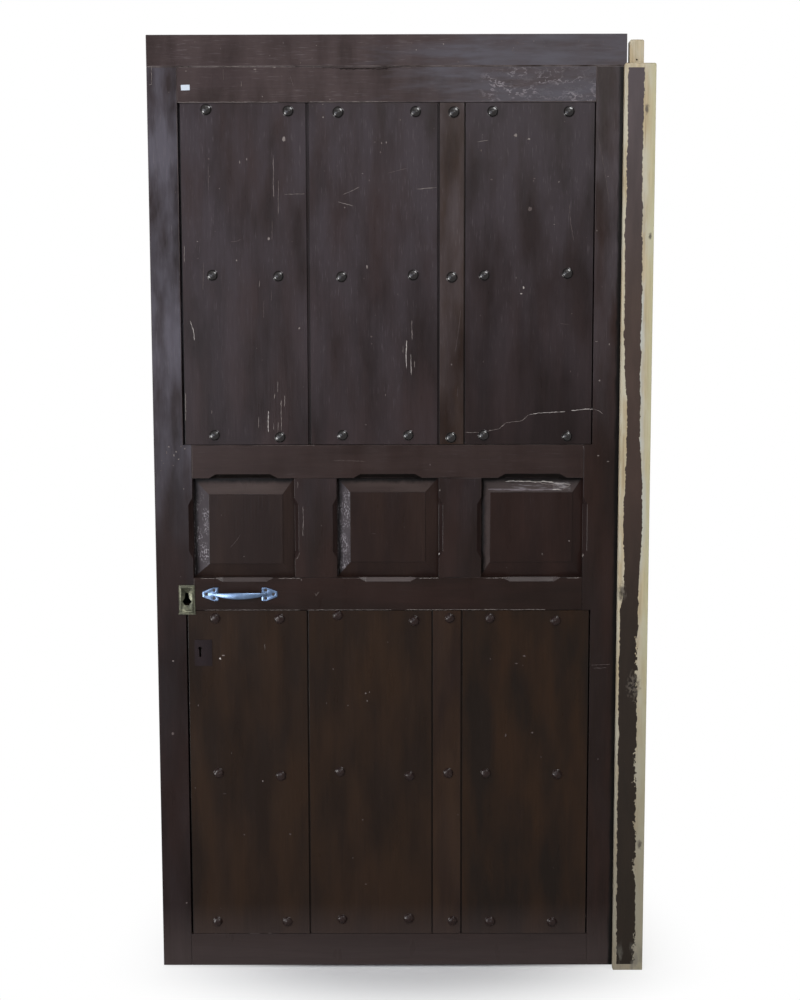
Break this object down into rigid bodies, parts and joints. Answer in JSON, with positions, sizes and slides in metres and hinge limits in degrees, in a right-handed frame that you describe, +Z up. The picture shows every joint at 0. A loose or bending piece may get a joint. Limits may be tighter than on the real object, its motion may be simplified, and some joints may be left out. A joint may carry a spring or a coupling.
{
  "type": "studded wooden plank door with hinge jamb",
  "caption": "Flat-topped dark wooden plank door leaf with dome studs, small raised panels, bow pull handle and rim lock, hung on the rebated hinge post of its frame.",
  "frame": {"origin": "middle of the hinge jamb's foot, where the post stands on the sill or floor", "axes": "+Z up along the post, +X to the right of a viewer who faces the closed door, +Y away from that viewer, the way the leaf opens"},
  "size_m": [1.0799, 0.0922, 2.055],
  "materials": {
    "dark_stained_wood": "old dark brown paint-like stain, semi-gloss, scraped and chipped",
    "worn_jamb_wood": "bare pale softwood with a strip of old dark paint down the face",
    "stud_iron": "dark forged iron, worn glossy",
    "plated_steel": "zinc plated, satin",
    "screw_steel": "dull steel",
    "aged_brass": "tarnished grey-green, rubbed on the rim",
    "painted_iron": "painted over with the door",
    "black_steel": "black stoving paint, satin",
    "bolt_steel": "bare steel, greased",
    "hinge_steel": "dull steel with a little rust"
  },
  "bodies": {
    "frame": {"hinge_jamb": "worn_jamb_wood", "jamb_hinge_screws": "screw_steel", "top_hinge_jamb_plate": "hinge_steel", "top_hinge_pin": "hinge_steel", "middle_hinge_jamb_plate": "hinge_steel", "middle_hinge_pin": "hinge_steel", "bottom_hinge_jamb_plate": "hinge_steel", "bottom_hinge_pin": "hinge_steel"},
    "leaf": {"lock_stile": "dark_stained_wood", "hinge_stile": "dark_stained_wood", "top_board": "dark_stained_wood", "top_rail": "dark_stained_wood", "upper_lock_rail": "dark_stained_wood", "lower_lock_rail": "dark_stained_wood", "bottom_rail": "dark_stained_wood", "left_muntin": "dark_stained_wood", "right_muntin": "dark_stained_wood", "left_raised_panel": "dark_stained_wood", "middle_raised_panel": "dark_stained_wood", "right_raised_panel": "dark_stained_wood", "upper_left_plank": "dark_stained_wood", "upper_middle_plank": "dark_stained_wood", "upper_narrow_plank": "dark_stained_wood", "upper_right_plank": "dark_stained_wood", "lower_left_plank": "dark_stained_wood", "lower_middle_plank": "dark_stained_wood", "lower_narrow_plank": "dark_stained_wood", "lower_right_plank": "dark_stained_wood", "upper_back_ledge": "dark_stained_wood", "lower_back_ledge": "dark_stained_wood", "upper_studs": "stud_iron", "lower_studs": "stud_iron", "pull_handle": "plated_steel", "pull_handle_screws": "screw_steel", "lock_escutcheon": "aged_brass", "old_keyhole_plate": "painted_iron", "lock_case": "black_steel", "lock_case_screws": "screw_steel", "top_hinge_door_plate": "hinge_steel", "middle_hinge_door_plate": "hinge_steel", "bottom_hinge_door_plate": "hinge_steel", "door_hinge_screws": "screw_steel"},
    "bolt": {"lock_bolt": "bolt_steel"}
  },
  "joints": [
    {"name": "leaf_swing", "type": "hinge", "parent": "frame", "child": "leaf", "pos_m": [-0.03, 0.03505, 0], "axis": [0, 0, -1], "range_deg": [0, 110]},
    {"name": "bolt_slide", "type": "slide", "parent": "leaf", "child": "bolt", "axis": [-1, 0, 0], "range_m": [0, 0.02]}
  ]
}
